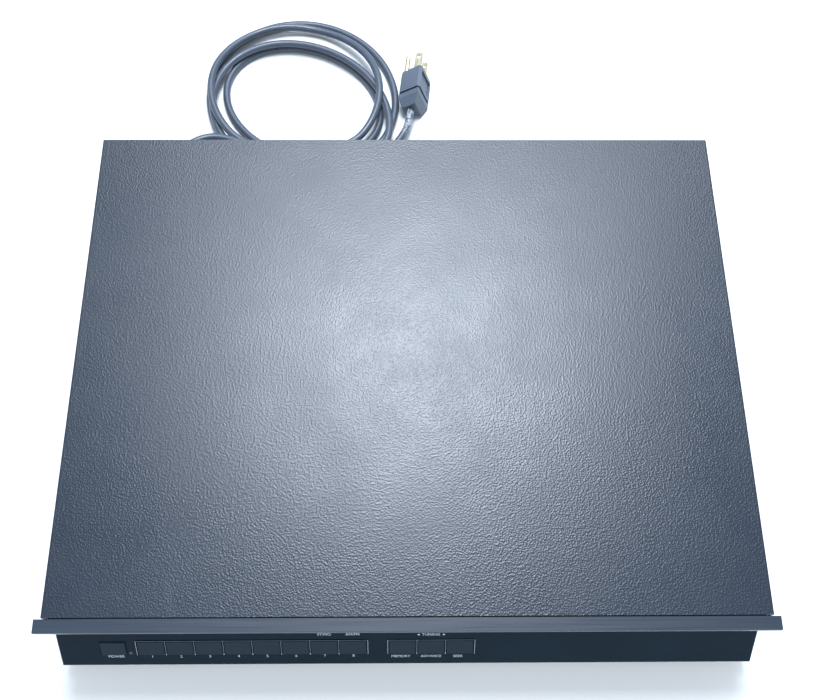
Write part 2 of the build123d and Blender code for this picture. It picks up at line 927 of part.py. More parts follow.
def transformer_winding():
    """The winding round the core's middle leg."""
    window = (core_width - core_leg) / 2 - core_yoke
    outer = core_leg + 2 * (window - winding_gap)
    high = (floor_z + core_yoke + winding_gap, floor_z + core_height - core_yoke - winding_gap)
    winding = block(around(core_x, outer), around(core_y(), core_thick + 2 * winding_margin), high)
    winding = fillet(winding.edges().filter_by(Axis.Z), 4.0)
    inside = block(
        around(core_x, core_leg + 2 * winding_gap),
        around(core_y(), core_thick + 2 * winding_gap),
        (0, top_z),
    )
    return winding - inside


def fuse_ends():
    """The two ends of the fuse's axis."""
    y = rear_y - fuse_back
    z = floor_z + fuse_height
    return (fuse_x, y - fuse_length / 2, z), (fuse_x, y + fuse_length / 2, z)


def fuse_block():
    """The fuse's base with its two clips."""
    y = rear_y - fuse_back
    foot = floor_z + 4
    base = block(around(fuse_x, 14), around(y, fuse_length + 8), (floor_z, foot))
    for end in (-1, 1):
        clip_y = y + end * (fuse_length / 2 - 3)
        base += block(around(fuse_x, 8), around(clip_y, 5), (foot, floor_z + fuse_height + 3))
    return base - rod(*fuse_ends(), fuse_radius + clip_gap)


def fuse():
    """The glass fuse, across its two clips."""
    return rod(*fuse_ends(), fuse_radius)


# ---- Main board ----
def main_board():
    """The main circuit board, with holes over its posts."""
    board = block(
        (board_left, board_right),
        (cover_y + board_front, rear_y - board_back),
        (floor_z + post_height, board_z),
    )
    for x, y in board_corners():
        board -= rod((x, y, floor_z), (x, y, board_z + 1), screw_radius + screw_hole)
    return board


def board_point(right, share):
    """A place on the main board: from its left edge, and a share of its depth back."""
    front = cover_y + board_front
    return board_left + right, front + share * (rear_y - board_back - front)


def can(x, y, radius, height):
    """An upright capacitor with a rolled groove near its foot."""
    low = board_z + groove_rise
    body = rod((x, y, board_z), (x, y, board_z + height), radius)
    core = rod((x, y, board_z), (x, y, board_z + height), radius - groove_depth)
    return body - (rod((x, y, low), (x, y, low + groove_width), radius + 1) - core)


def capacitors():
    """The supply's capacitors and a row of small ones."""
    cans = []
    for number in range(2):
        place = board_point(large_can_left + large_can_pitch * number, supply_row)
        cans.append(can(*place, large_can_radius, large_can_height))
    for number in range(4):
        place = board_point(small_can_left + small_can_pitch * number, small_can_row)
        cans.append(can(*place, small_can_radius, small_can_height))
    return Compound(children=cans)


def heat_sink():
    """The finned plate that cools the regulator."""
    x, y = board_point(sink_left, supply_row)
    high = (board_z, board_z + sink_height)
    plate_back = y + sink_plate
    sink = block(around(x, sink_width), (y, plate_back), high)
    for number in range(-2, 3):
        fin = around(x + number * fin_pitch, fin_thick)
        sink += block(fin, (plate_back, plate_back + fin_depth), high)
    return sink


def regulator():
    """The voltage regulator, flat against its heat sink."""
    x, y = board_point(sink_left, supply_row)
    low = board_z + regulator_legs
    top = low + regulator_width
    wide = around(x, regulator_width)
    body = block(wide, (y - regulator_thick, y), (low, top))
    tab = block(wide, (y - regulator_tab, y), (top, top + 0.6 * regulator_width))
    middle = y - 2 * regulator_thick / 3
    legs = block(around(x, 0.6 * regulator_width), around(middle, 1.0), (board_z, low))
    return body + tab + legs


def tuner_chips():
    """The radio's long and short chips."""
    chips = []
    low = board_z + chip_lift
    for right, share, length in chip_places:
        x, y = board_point(right, share)
        body = block(around(x, length), around(y, chip_width), (low, low + chip_thick))
        legs = block(around(x, length - chip_thick), around(y, chip_legs), (board_z, low))
        chips.append(body + legs)
    return Compound(children=chips)


def tuned_coils():
    """The small square tuned coils in their cans, each with its core's hole."""
    coils = []
    top = board_z + coil_can_height
    for number in range(6):
        x, y = board_point(coil_can_left + coil_can_pitch * number, coil_can_row)
        coil = block(around(x, coil_can_width), around(y, coil_can_width), (board_z, top))
        coils.append(coil - rod((x, y, top - coil_core_deep), (x, y, top + 1), coil_core_radius))
    return Compound(children=coils)


def radio_can():
    """The tin can over the radio's front end, with its adjusting holes."""
    x, y = board_point(tin_left, tin_row)
    top = board_z + tin_height
    tin = block(around(x, tin_width), around(y, tin_depth), (board_z, top))
    inner_x = around(x, tin_width - 2 * tin_sheet)
    inner_y = around(y, tin_depth - 2 * tin_sheet)
    tin -= block(inner_x, inner_y, (board_z - 1, top - tin_sheet))
    for number in range(4):
        hole_x = x + (number - 1.5) * tin_hole_pitch
        tin -= rod((hole_x, y, top - 2 * tin_sheet), (hole_x, y, top + 1), tin_hole)
    return tin


def flat_cable():
    """The flat cable from the display board down to the main board."""
    start = tube_front_y() + tube_thick + board_thick
    high = (display_opening()[1][0] + display_opening()[1][1]) / 2
    end = cover_y + board_front + cable_landing
    over_board = board_z + cable_landing
    route = [
        (start, high),
        (start + cable_out, high),
        (end - cable_level, over_board),
        (end, over_board),
        (end, board_z),
    ]
    line = FilletPolyline(*[(0, y, z) for y, z in route], radius=cable_bend)
    ribbon = Plane.YZ * trace(Plane.YZ.to_local_coords(line), cable_thick)
    return Pos(cable_x, 0, 0) * extrude(ribbon, amount=cable_width, dir=(1, 0, 0))


# ---- Back of the tuner ----
def output_jacks():
    """Two output jacks on their plate."""
    plate = block(
        around(jack_x, jack_spacing + 2 * plate_margin),
        (rear_y, rear_y + plate_thick),
        around(jack_z, 2 * plate_margin),
    )
    plate += block(
        around(jack_x, jack_spacing + 2 * jack_radius),
        (rear_inside_y - inside_depth, rear_y),
        around(jack_z, 2 * jack_radius),
    )
    front = rear_y + plate_thick
    for side in (-1, 1):
        x = jack_x + side * jack_spacing / 2
        plate += rod((x, front, jack_z), (x, front + jack_length, jack_z), jack_radius)
        plate -= rod((x, front - 3, jack_z), (x, front + jack_length + 1, jack_z), jack_bore)
    return plate


def antenna_socket():
    """The round antenna socket with its six-sided nut."""
    nut = extrude(
        Plane(origin=(antenna_x, rear_y, antenna_z), x_dir=(1, 0, 0), z_dir=(0, 1, 0))
        * RegularPolygon(antenna_hex / 2, 6, major_radius=False),
        amount=antenna_nut,
    )
    end = depth / 2
    start = rear_inside_y - inside_depth
    bore_start = end - antenna_bore_depth
    body = rod((antenna_x, start, antenna_z), (antenna_x, end, antenna_z), antenna_radius)
    bore = rod((antenna_x, bore_start, antenna_z), (antenna_x, end + 1, antenna_z), antenna_bore)
    return nut + body - bore


def terminal_span():
    """The terminal block's width."""
    return terminal_pitch * terminal_count + terminal_edge


def terminal_x_at(number):
    """The middle of one terminal."""
    return terminal_x + (number - (terminal_count - 1) / 2) * terminal_pitch


def antenna_terminals():
    """The screw terminal block for wire antennas, with walls between its screws."""
    out = rear_y + terminal_depth
    high = around(terminal_z, terminal_height)
    floor = rear_y + terminal_base
    base = block(around(terminal_x, terminal_span()), (rear_y, floor), high)
    base += block(
        around(terminal_x, terminal_span() - 2 * terminal_edge),
        (rear_inside_y - inside_depth, rear_y),
        around(terminal_z, terminal_height / 3),
    )
    for number in range(terminal_count + 1):
        x = terminal_x_at(number - 0.5)
        base += block(around(x, terminal_wall), (floor, out), high)
    for number in range(terminal_count):
        x = terminal_x_at(number)
        base -= rod((x, rear_y - 1, terminal_z), (x, floor + 1, terminal_z), terminal_pin + screw_hole)
    return base


def terminal_screws():
    """The terminals' slotted screws."""
    screws = []
    floor = rear_y + terminal_base
    top = floor + terminal_head
    for number in range(terminal_count):
        x = terminal_x_at(number)
        pin = rod((x, rear_y, terminal_z), (x, floor, terminal_z), terminal_pin)
        head = rod((x, floor, terminal_z), (x, top, terminal_z), terminal_screw)
        cut_y = (top - terminal_cut, top + 1)
        cut = block(around(x, 2 * terminal_screw), cut_y, around(terminal_z, terminal_slot))
        screws.append(pin + head - cut)
    return Compound(children=screws)


def relief_sleeve_plane():
    """The plane at the root of the strain relief's sleeve, facing along the cord."""
    turn = math.radians(relief_turn)
    droop = math.radians(relief_droop)
    heading = (math.sin(turn) * math.cos(droop), math.cos(turn) * math.cos(droop), -math.sin(droop))
    return Plane(origin=(cord_x, rear_y + relief_plate, cord_z), z_dir=heading)


def strain_relief():
    """The cord's strain relief: a flange, a body through the panel and a tapered sleeve."""
    flange = rod((cord_x, rear_y, cord_z), (cord_x, rear_y + relief_plate, cord_z), relief_flange)
    inside = rod((cord_x, rear_inside_y - inside_depth, cord_z), (cord_x, rear_y, cord_z), relief_root)
    sleeve = Cone(relief_root, relief_tip, relief_length, align=(Align.CENTER, Align.CENTER, Align.MIN))
    return flange + inside + relief_sleeve_plane() * sleeve


# ---- Power cord ----
def route_points(route):
    """The route's points in the tuner's own frame."""
    return [Vector(cord_x + right, back_y + behind, z) for right, behind, z in route]


def cord_tube(name, points):
    """A round tube along straight runs joined by arcs as large as the runs allow."""
    runs = [b - a for a, b in zip(points, points[1:])]
    radii = []
    for before, after in zip(runs, runs[1:]):
        shorter = min(before.length, after.length)
        half_turn = math.radians(before.get_angle(after)) / 2
        radii.append(arc_share * shorter / math.tan(half_turn))
    print(name, "arc radii", [round(radius, 1) for radius in radii])
    path = FilletPolyline(*points, radius=radii)
    section = Plane(origin=path @ 0, z_dir=path % 0) * Circle(cord_radius)
    tube = sweep(section, path=path)
    expected = math.pi * cord_radius**2 * path.length
    print(name, "length", round(path.length, 1), "volume share", round(tube.volume / expected, 4))
    return tube


def cord_lead():
    """The cord from its strain relief to the coil."""
    sleeve = relief_sleeve_plane()
    start = sleeve.origin + sleeve.z_dir * relief_length
    return cord_tube("cord_lead", [start, *route_points(lead_route)])


def cord_tail():
    """The cord from the coil to the plug."""
    return cord_tube("cord_tail", route_points(tail_route))


def cord_coil():
    """The outer shape of the loose coil that lies behind the tuner."""
    middle = Pos(cord_x + coil_right, back_y + coil_back, coil_height / 2)
    ring = middle * Cylinder(coil_outer, coil_height)
    hole = extrude(Ellipse(hole_half_x, hole_half_y), amount=3 * coil_height)
    ring -= Pos(cord_x + hole_right, back_y + hole_back, -coil_height) * hole
    top_edges = ring.edges().group_by(Axis.Z)[-1]
    return fillet(top_edges, coil_round)


# ---- Plug ----
def plug_plane():
    """The plane across the plug at the cord's end, looking along the plug."""
    points = route_points(tail_route)
    heading = points[-1] - points[-2]
    heading = Vector(heading.X, heading.Y, 0)
    return Plane(origin=points[-1], x_dir=heading.cross(Vector(0, 0, 1)), z_dir=heading)


plug_lean = math.degrees(math.atan((plug_wide - plug_narrow) / 2 / plug_high))


def plug_shape(share):
    """The plug's section, wider at its blades, rolled so that it lies on one side."""
    half_high = plug_high / 2 * share
    outline = Polyline(
        (half_high, -plug_wide / 2 * share),
        (half_high, plug_wide / 2 * share),
        (-half_high, plug_narrow / 2 * share),
        (-half_high, -plug_narrow / 2 * share),
        close=True,
    )
    return Rot(0, 0, -plug_lean) * make_face(outline)


def plug_rise():
    """Height of the plug's middle when it lies on its side."""
    lean = math.radians(plug_lean)
    return plug_wide / 2 * math.cos(lean) - plug_high / 2 * math.sin(lean)


def plug_drop():
    """How far the plug's middle lies under the end of the cord."""
    return tail_route[-1][2] - plug_rise()


def plug_slice(start, length, share):
    """A stretch of the plug's section, from one place along the plug."""
    return Pos(0, plug_drop(), start) * extrude(plug_shape(share), amount=length)


def plug_front():
    """The blades' face, along the plug from the end of the cord."""
    return taper_length + clamp_length + waist_length + plug_block


def plug_body():
    """The moulded plug: a block with a shallow recess, a waist, and the cord's clamp."""
    block_start = plug_front() - plug_block
    body = plug_slice(block_start, plug_block, 1.0)
    body = chamfer(body.edges().filter_by(Axis.Z), plug_chamfer)
    recess = Pos(plug_high / 2, 0, block_start + plug_block / 2) * Box(
        2 * recess_deep, plug_wide - 2 * recess_inset, plug_block - 2 * recess_inset
    )
    body -= Pos(0, plug_drop(), 0) * Rot(0, 0, -plug_lean) * recess
    body += plug_slice(taper_length + clamp_length, waist_length, waist_share)
    body += plug_slice(taper_length, clamp_length, clamp_share)
    taper = loft([
        Pos(0, plug_drop() * (1 - taper_share), 0) * plug_shape(taper_share),
        Pos(0, plug_drop(), taper_length) * plug_shape(clamp_share),
    ])
    return plug_plane() * (body + taper)


def plug_blades():
    """Two flat blades with a hole in each, and the round earth pin."""
    front = plug_front()
    blade_x = (earth_offset - blade_width / 2) / 2
    pieces = []
    for side in (-1, 1):
        blade = block(
            around(blade_x, blade_width),
            around(side * blade_spacing / 2, blade_thick),
            (front, front + blade_length),
        )
        blade = chamfer(blade.edges().filter_by(Axis.Y).group_by(Axis.Z)[-1], blade_chamfer)
        hole = Pos(blade_x, side * blade_spacing / 2, front + blade_length - blade_hole_end)
        blade -= hole * Rot(90, 0, 0) * Cylinder(blade_hole, 4 * blade_thick)
        pieces.append(blade)
    pin = Cylinder(earth_radius, earth_length, align=(Align.CENTER, Align.CENTER, Align.MIN))
    pin = fillet(pin.edges().group_by(Axis.Z)[-1], earth_radius * 0.8)
    pieces.append(Pos(blade_x - earth_offset, 0, front) * pin)
    roll = Pos(0, plug_drop(), 0) * Rot(0, 0, -plug_lean)
    return Compound(children=[plug_plane() * (roll * piece) for piece in pieces])


# ---- Every sub-part, written to its own file ----
makers = {
    "top_cover": top_cover,
    "base_chassis": base_chassis,
    "rear_panel": rear_panel,
    "front_frame": front_frame,
    "visor_bar": visor_bar,
    "key_panel": key_panel,
    "end_cheeks": end_cheeks,
    "display_bezel": display_bezel,
    "display_window": display_window,
    "display_tube": display_tube,
    "display_board": display_board,
    "key_board": key_board,
    "key_switches": key_switches,
    "power_light": power_light,
    "power_key": power_key,
    "power_link_rod": power_link_rod,
    "switch_plunger": switch_plunger,
    "power_switch": power_switch,
    "switch_bracket": switch_bracket,
    "transformer_core": transformer_core,
    "transformer_winding": transformer_winding,
    "fuse_block": fuse_block,
    "fuse": fuse,
    "main_board": main_board,
    "capacitors": capacitors,
    "heat_sink": heat_sink,
    "regulator": regulator,
    "tuner_chips": tuner_chips,
    "tuned_coils": tuned_coils,
    "radio_can": radio_can,
    "flat_cable": flat_cable,
    "cover_screws": cover_screws,
    "chassis_screws": chassis_screws,
    "feet": feet,
    "foot_pads": foot_pads,
    "output_jacks": output_jacks,
    "antenna_socket": antenna_socket,
    "antenna_terminals": antenna_terminals,
    "terminal_screws": terminal_screws,
    "strain_relief": strain_relief,
    "cord_lead": cord_lead,
    "cord_coil": cord_coil,
    "cord_tail": cord_tail,
    "plug_body": plug_body,
    "plug_blades": plug_blades,
}

os.makedirs("parts", exist_ok=True)
for node, make in makers.items():
    export_step(make(), f"parts/{node}.step")
for node in key_middles:
    export_step(key(node), f"parts/{node}.step")
print(len(makers) + len(key_middles), "parts")
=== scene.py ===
import json
import math

import bmesh
import bpy
from mathutils import Matrix, Vector


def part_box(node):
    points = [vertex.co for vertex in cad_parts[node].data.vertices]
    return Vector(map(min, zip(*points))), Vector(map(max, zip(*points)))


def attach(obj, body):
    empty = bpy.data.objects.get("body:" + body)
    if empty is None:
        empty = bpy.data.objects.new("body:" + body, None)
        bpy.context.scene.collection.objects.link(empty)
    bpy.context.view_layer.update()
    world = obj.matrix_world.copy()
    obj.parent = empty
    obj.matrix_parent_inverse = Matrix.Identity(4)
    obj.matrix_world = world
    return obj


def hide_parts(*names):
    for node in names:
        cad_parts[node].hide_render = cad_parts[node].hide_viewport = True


# A slim hi-fi radio tuner seen from above and in front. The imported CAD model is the
# frame; this script adds its cord, printing and finishes, the light and the camera.
# Metres throughout, apart from names that end in _mm.

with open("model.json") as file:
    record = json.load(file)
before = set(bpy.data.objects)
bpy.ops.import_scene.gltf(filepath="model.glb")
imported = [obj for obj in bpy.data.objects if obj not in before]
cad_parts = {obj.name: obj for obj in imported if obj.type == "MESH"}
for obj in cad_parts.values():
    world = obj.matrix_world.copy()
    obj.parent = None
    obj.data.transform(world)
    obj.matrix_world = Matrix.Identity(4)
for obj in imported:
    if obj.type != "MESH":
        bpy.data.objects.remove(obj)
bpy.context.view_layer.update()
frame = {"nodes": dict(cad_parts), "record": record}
nodes = frame["nodes"]
MM = 0.001

cover_low, cover_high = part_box("top_cover")
base_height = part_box("key_panel")[0].z
cover_front = cover_low.y
cover_back = cover_high.y


# ---- Camera ----
def aim(place, right, up):
    """A rotation and place matrix from the camera's own right and up directions."""
    right = Vector(right).normalized()
    up = Vector(up).normalized()
    back = right.cross(up)
    turn = Matrix((right, up, back)).transposed()
    return Matrix.Translation(Vector(place)) @ turn.to_4x4()


camera = bpy.data.objects.new("camera", bpy.data.cameras.new("camera"))
camera.data.lens = 44.58
camera.data.sensor_width = 36.0
camera.data.clip_start = 0.01
camera.matrix_world = aim((-0.0075, -0.2445, 0.6748), (1.0, -0.006, 0.010), (0.002, 0.921, 0.390))
bpy.context.scene.collection.objects.link(camera)
bpy.context.scene.camera = camera


# ---- Power cord ----
CORD = 5.8 * MM
FLOOR_REST = CORD / 2 + 0.1 * MM


CORD_HOLE_X = cover_low.x + 25.0 * MM


def behind(right_mm, back_mm, z_mm):
    """A point in millimetres: to the right of the cord's hole, behind the cover, height."""
    return Vector((CORD_HOLE_X + right_mm * MM, cover_back + back_mm * MM, z_mm * MM))


relief_end = behind(6.64, 17.34, 22.87)
lead_route = [
    behind(10.7, 27.4, 21.0),
    behind(19.0, 37.0, 18.2),
    behind(32.4, 46.5, 16.0),
    behind(48.4, 46.0, 15.0),
    behind(64.6, 38.3, 13.4),
    behind(81.0, 31.0, 11.0),
    behind(97.5, 27.4, 9.0),
]
tail_route = [
    behind(117.0, 22.0, 3.2),
    behind(135.0, 22.5, 3.2),
    behind(153.5, 27.0, 3.2),
    behind(170.5, 36.0, 3.8),
    behind(183.4, 50.5, 6.4),
    behind(190.6, 64.0, 9.0),
    behind(192.1, 77.6, 9.0),
]
# Each loose turn, from the top of the coil to the floor: middle to the right of the
# cord's hole, middle behind the cover, half length and half width, in millimetres, and
# its lean in degrees.
turns = [
    (100.0, 96.0, 69.0, 65.5, -38.0),
    (104.5, 76.0, 76.0, 62.5, -38.0),
    (105.5, 89.0, 66.0, 51.0, -30.0),
    (105.0, 93.5, 77.5, 73.0, -45.0),
]
POINTS_PER_TURN = 30
FIRST_ANGLE = -66.0        # where the lead joins the first turn
LAST_ANGLE = 258.0         # where the last turn leaves for the tail
CHANGE_FROM = 228.0        # between these angles, behind the case, each turn becomes the next
CHANGE_TO = 318.0
PRESSED_BACK = 50.0        # nearer to the case than this, the turns are pressed together
PRESSED_SHARE = 0.7
RUN_PARTS = 5              # steps along a run when strands are tested for touching
OWN_RUNS = 8               # runs nearest to a group's end, which are its own continuation
STRAND_CLEAR = CORD * 1.02
STEEPEST = 2.0 * MM        # rise from one point to the next


def turn_point(turn, angle):
    """The point of one turn in the given direction from its middle, in millimetres."""
    middle_right, middle_back, length, width, lean = turn
    swing = math.radians(angle - lean)
    reach = length * width / math.hypot(width * math.cos(swing), length * math.sin(swing))
    right = middle_right + reach * math.cos(math.radians(angle))
    back = middle_back + reach * math.sin(math.radians(angle))
    if back < PRESSED_BACK:
        back = PRESSED_BACK - (PRESSED_BACK - back) * PRESSED_SHARE
    return right, back


def smooth_step(low, high, value):
    """0 below the low value, 1 above the high one, and an even curve between."""
    share = min(max((value - low) / (high - low), 0.0), 1.0)
    return share * share * (3 - 2 * share)


def coil_turns():
    """The coil's points by turn, from the lead to the tail, all lying at floor height."""
    step = 360.0 / POINTS_PER_TURN
    groups = []
    for number, turn in enumerate(turns):
        group = []
        angle = FIRST_ANGLE if number == 0 else -90.0
        last = LAST_ANGLE if number == len(turns) - 1 else 270.0 - step / 2
        while angle <= last:
            right, back = turn_point(turn, angle)
            if angle > 90 and number + 1 < len(turns):
                other_right, other_back = turn_point(turns[number + 1], angle)
                share = smooth_step(CHANGE_FROM, CHANGE_TO, angle)
            elif angle < 0 and number > 0:
                other_right, other_back = turn_point(turns[number - 1], angle)
                share = 1 - smooth_step(CHANGE_FROM, CHANGE_TO, angle + 360)
            else:
                other_right, other_back, share = right, back, 0.0
            right += (other_right - right) * share
            back += (other_back - back) * share
            group.append(behind(right, back, FLOOR_REST / MM))
            angle += step
        groups.append(group)
    return groups


def finely(points):
    """Points along straight runs between the given ones."""
    made = []
    for start, end in zip(points, points[1:]):
        made += [start.lerp(end, n / RUN_PARTS) for n in range(RUN_PARTS)]
    return made + [points[-1]]


def settled(groups):
    """Lays each group of points on the groups after it, which lie lower in the coil."""
    laid = []
    for group in reversed(groups):
        below = finely(laid)[OWN_RUNS * RUN_PARTS:] if laid else []
        heights = []
        for index, point in enumerate(group):
            beside = finely(group[max(index - 1, 0): index + 2])
            need = point.z
            for near in beside:
                for other in below:
                    apart = math.hypot(near.x - other.x, near.y - other.y)
                    if apart < STRAND_CLEAR:
                        need = max(need, other.z + math.sqrt(STRAND_CLEAR ** 2 - apart ** 2))
            heights.append(need)
        if laid:
            heights[-1] = max(heights[-1], laid[0].z)
        for _ in range(3):
            for index in list(range(1, len(heights))) + list(range(len(heights) - 2, -1, -1)):
                for near in (index - 1, index + 1):
                    if 0 <= near < len(heights):
                        heights[index] = max(heights[index], heights[near] - STEEPEST)
        for index in range(1, len(heights) - 1):
            level = (heights[index - 1] + 2 * heights[index] + heights[index + 1]) / 4
            heights[index] = max(heights[index], level)
        laid = [Vector((p.x, p.y, z)) for p, z in zip(group, heights)] + laid
    return laid


def nurbs(name, points, thickness):
    """A round NURBS tube that follows its control points smoothly.

    Its points carry the tube's radius, because Blender adds that to a curve's box."""
    curve = bpy.data.curves.new(name, "CURVE")
    curve.dimensions = "3D"
    line = curve.splines.new("NURBS")
    line.points.add(len(points) - 1)
    for place, point in zip(line.points, points):
        place.co = (*point, 1.0)
        place.radius = thickness / 2
    line.order_u = 3
    line.use_endpoint_u = True
    line.resolution_u = 8
    curve.bevel_depth = 1.0
    curve.bevel_resolution = 6
    curve.use_fill_caps = True
    made = bpy.data.objects.new(name, curve)
    bpy.context.scene.collection.objects.link(made)
    return made


cord_points = [relief_end] + settled([lead_route] + coil_turns() + [tail_route])
cord = nurbs("power_cord", cord_points, CORD)
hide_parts("cord_lead", "cord_coil", "cord_tail")
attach(cord, "case")


# ---- Materials ----
class Finish:
    """A node material that is built up from one shader, in the object's own metres."""

    def __init__(self, name, colour, roughness, metallic=0.0):
        self.material = bpy.data.materials.new(name)
        self.material.use_nodes = True
        self.tree = self.material.node_tree
        self.shader = self.tree.nodes["Principled BSDF"]
        self.colour = (*colour, 1.0)
        self.roughness = roughness
        self.shader.inputs["Base Color"].default_value = self.colour
        self.shader.inputs["Roughness"].default_value = roughness
        self.shader.inputs["Metallic"].default_value = metallic
        self.place = self.tree.nodes.new("ShaderNodeTexCoord").outputs["Object"]
        self.paint = None
        self.relief = None

    def node(self, kind, **values):
        made = self.tree.nodes.new(kind)
        for key, value in values.items():
            made.inputs[key.replace("_", " ")].default_value = value
        return made

    def link(self, start, end):
        self.tree.links.new(start, end)

    def stretched(self, scale):
        """The object's own coordinates, stretched along each axis."""
        mapping = self.node("ShaderNodeMapping")
        mapping.inputs["Scale"].default_value = scale
        self.link(self.place, mapping.inputs["Vector"])
        return mapping.outputs["Vector"]

    def noise(self, scale, detail=2.0, stretch=(1, 1, 1), distortion=0.0):
        made = self.node("ShaderNodeTexNoise", Scale=scale, Detail=detail, Distortion=distortion)
        self.link(self.stretched(stretch), made.inputs["Vector"])
        return made.outputs["Fac"]

    def cells(self, scale, smooth=0.6, stretch=(1, 1, 1)):
        made = self.node("ShaderNodeTexVoronoi", Scale=scale)
        made.feature = "SMOOTH_F1"
        made.inputs["Smoothness"].default_value = smooth
        self.link(self.stretched(stretch), made.inputs["Vector"])
        return made.outputs["Distance"]

    def nearness(self, point, full, none):
        """1 within the full distance of a point, fading to 0 at the other distance."""
        away = self.tree.nodes.new("ShaderNodeVectorMath")
        away.operation = "DISTANCE"
        self.link(self.place, away.inputs[0])
        away.inputs[1].default_value = point
        return self.ranged(away.outputs["Value"], full, none, 1.0, 0.0)

    def times(self, first, second):
        made = self.tree.nodes.new("ShaderNodeMath")
        made.operation = "MULTIPLY"
        self.link(first, made.inputs[0])
        self.link(second, made.inputs[1])
        return made.outputs["Value"]

    def ranged(self, value, low, high, to_low=0.0, to_high=1.0):
        made = self.node("ShaderNodeMapRange")
        for index, number in zip((1, 2, 3, 4), (low, high, to_low, to_high)):
            made.inputs[index].default_value = number
        self.link(value, made.inputs["Value"])
        return made.outputs["Result"]

    def mixed(self, share, first, second):
        """Between two colours, or a colour and a socket, by a share."""
        made = self.tree.nodes.new("ShaderNodeMix")
        made.data_type = "RGBA"
        self.link(share, made.inputs["Factor"])
        for name, value in (("A", first), ("B", second)):
            socket = [s for s in made.inputs if s.name == name and s.type == "RGBA"][0]
            if isinstance(value, bpy.types.NodeSocket):
                self.link(value, socket)
            else:
                socket.default_value = (*value[:3], 1.0)
        return [s for s in made.outputs if s.type == "RGBA"][0]

    def tint(self, share, colour):
        """Paints a colour over what is there, where the share is high."""
        self.paint = self.mixed(share, self.paint or self.colour, colour)
        self.link(self.paint, self.shader.inputs["Base Color"])
        return self

    def mottled(self, scale, amount, detail=3.0):
        """Slightly darker and lighter patches."""
        shade = [c * (1 + amount) for c in self.colour[:3]]
        return self.tint(self.ranged(self.noise(scale, detail), 0.3, 0.7), shade)

    def uneven(self, scale, amount, detail=3.0, stretch=(1, 1, 1)):
        """Roughness that varies about its own value."""
        value = self.noise(scale, detail, stretch)
        spread = self.ranged(value, 0.3, 0.7, self.roughness - amount, self.roughness + amount)
        self.link(spread, self.shader.inputs["Roughness"])
        return self

    def bumped(self, height, depth, strength=1.0):
        """Relief from a value, depth in metres from its lowest to its highest."""
        bump = self.node("ShaderNodeBump", Strength=strength, Distance=depth)
        self.link(height, bump.inputs["Height"])
        if self.relief:
            self.link(self.relief, bump.inputs["Normal"])
        self.relief = bump.outputs["Normal"]
        self.link(self.relief, self.shader.inputs["Normal"])
        return self

    def set(self, **values):
        for key, value in values.items():
            self.shader.inputs[key.replace("_", " ")].default_value = value
        return self


def moulded(name, colour, roughness, grain=900.0, depth=0.00006):
    """Moulded plastic with a fine spark-eroded grain and handling marks."""
    made = Finish(name, colour, roughness).mottled(60.0, 0.12)
    made.uneven(140.0, 0.06)
    made.bumped(made.noise(grain, 3.0), depth, 0.5)
    return made


def plated(name, colour, roughness):
    """Plated metal with faint spangle and drawn scratches."""
    made = Finish(name, colour, roughness, metallic=1.0).mottled(90.0, -0.15)
    made.uneven(400.0, 0.08, stretch=(1, 0.08, 1))
    made.bumped(made.noise(1500.0, 2.0, stretch=(1, 0.05, 1)), 0.00002, 0.4)
    return made


def painted(name, colour, roughness, grain, depth):
    """Sprayed paint with an orange-peel skin."""
    made = Finish(name, colour, roughness).mottled(25.0, 0.15)
    made.uneven(70.0, 0.05)
    made.bumped(made.noise(grain, 2.0), depth, 0.6)
    return made


def cover_paint():
    """Black wrinkle-textured paint, with a few pale rubs where things were set down."""
    made = Finish("cover_texture_paint", (0.008, 0.016, 0.030), 0.31)
    grain = made.cells(880.0, 0.45)
    fine = made.noise(1900.0, 2.0)
    made.mottled(9.0, 0.10, 4.0)
    rubs = made.ranged(made.noise(11.0, 5.0, distortion=0.6), 0.70, 0.80, 0.0, 0.2)
    made.tint(rubs, (0.12, 0.13, 0.15))
    made.uneven(30.0, 0.03, 4.0)
    made.bumped(grain, 0.00019, 0.62)
    made.bumped(fine, 0.00005, 0.6)
    return made


def panel_black():
    """Smooth blue-black panel paint with faint dust and wiping marks."""
    made = Finish("panel_black_paint", (0.003, 0.009, 0.016), 0.28)
    made.mottled(14.0, 0.3, 4.0)
    made.tint(made.ranged(made.noise(900.0, 2.0), 0.70, 0.82, 0.0, 0.25), (0.10, 0.12, 0.14))
    made.uneven(35.0, 0.07, 5.0, stretch=(0.4, 1, 1))
    made.bumped(made.noise(300.0, 2.0), 0.00001, 0.3)
    made.set(Specular_IOR_Level=0.05)
    return made


def key_satin():
    """The keys' satin plastic, darker and finer than the frame's."""
    made = moulded("key_satin_plastic", (0.008, 0.017, 0.027), 0.36, 1500.0, 0.00003)
    return made.set(Specular_IOR_Level=0.08)


def visor_black():
    """Satin anodised bar, brushed along its length."""
    made = Finish("visor_satin_black", (0.018, 0.028, 0.045), 0.32)
    made.mottled(20.0, 0.12)
    made.uneven(800.0, 0.06, 2.0, stretch=(0.02, 1, 1))
    made.bumped(made.noise(2200.0, 2.0, stretch=(0.01, 1, 1)), 0.00001, 0.35)
    return made


